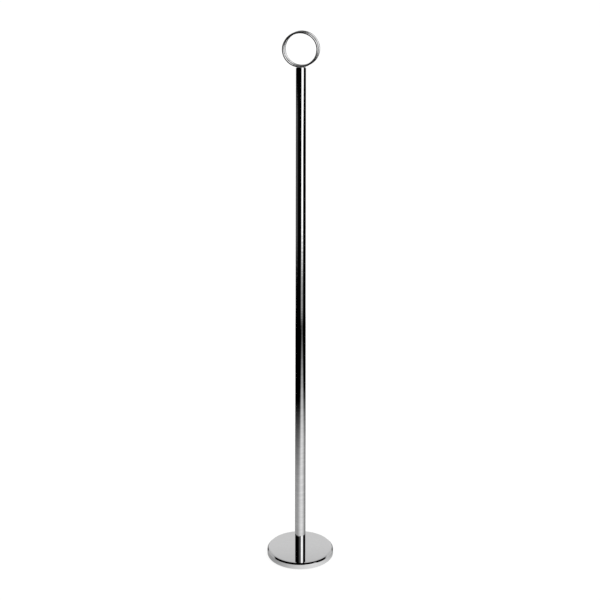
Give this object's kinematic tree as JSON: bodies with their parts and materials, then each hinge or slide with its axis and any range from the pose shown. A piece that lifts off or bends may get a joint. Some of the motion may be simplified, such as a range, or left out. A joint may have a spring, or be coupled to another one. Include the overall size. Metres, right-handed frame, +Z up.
{
  "type": "table number stand",
  "caption": "Slim steel pole on a round weighted base, topped by a double-turn wire ring clip that holds a table number or place card upright.",
  "frame": {"origin": "on the pole's axis, at the underside of the pad that the stand rests on", "axes": "+Z up along the pole; -Y is the side of the clip's front turn, which faces the viewer; +X is to the viewer's right"},
  "size_m": [0.057, 0.057, 0.4572],
  "materials": {
    "mirror_steel": "mirror polished",
    "plain_steel": "plain rolled and turned",
    "zinc_steel": "zinc plated",
    "brass_insert": "turned",
    "rubber_pad": "matte non-slip rubber"
  },
  "bodies": {
    "stand": {"base_cover": "mirror_steel", "base_weight": "plain_steel", "base_pad": "rubber_pad", "base_screw": "zinc_steel", "foot_insert": "brass_insert", "pole_tube": "mirror_steel", "top_plug": "mirror_steel", "clip_rear_turn": "mirror_steel"},
    "front_turn": {"clip_front_turn": "mirror_steel"}
  },
  "joints": [
    {"name": "clip_open", "type": "hinge", "parent": "stand", "child": "front_turn", "pos_m": [0, -0.00095, 0.4296], "axis": [1, 0, 0], "range_deg": [0, 6], "stiffness_Nm_per_rad": 1.5}
  ]
}
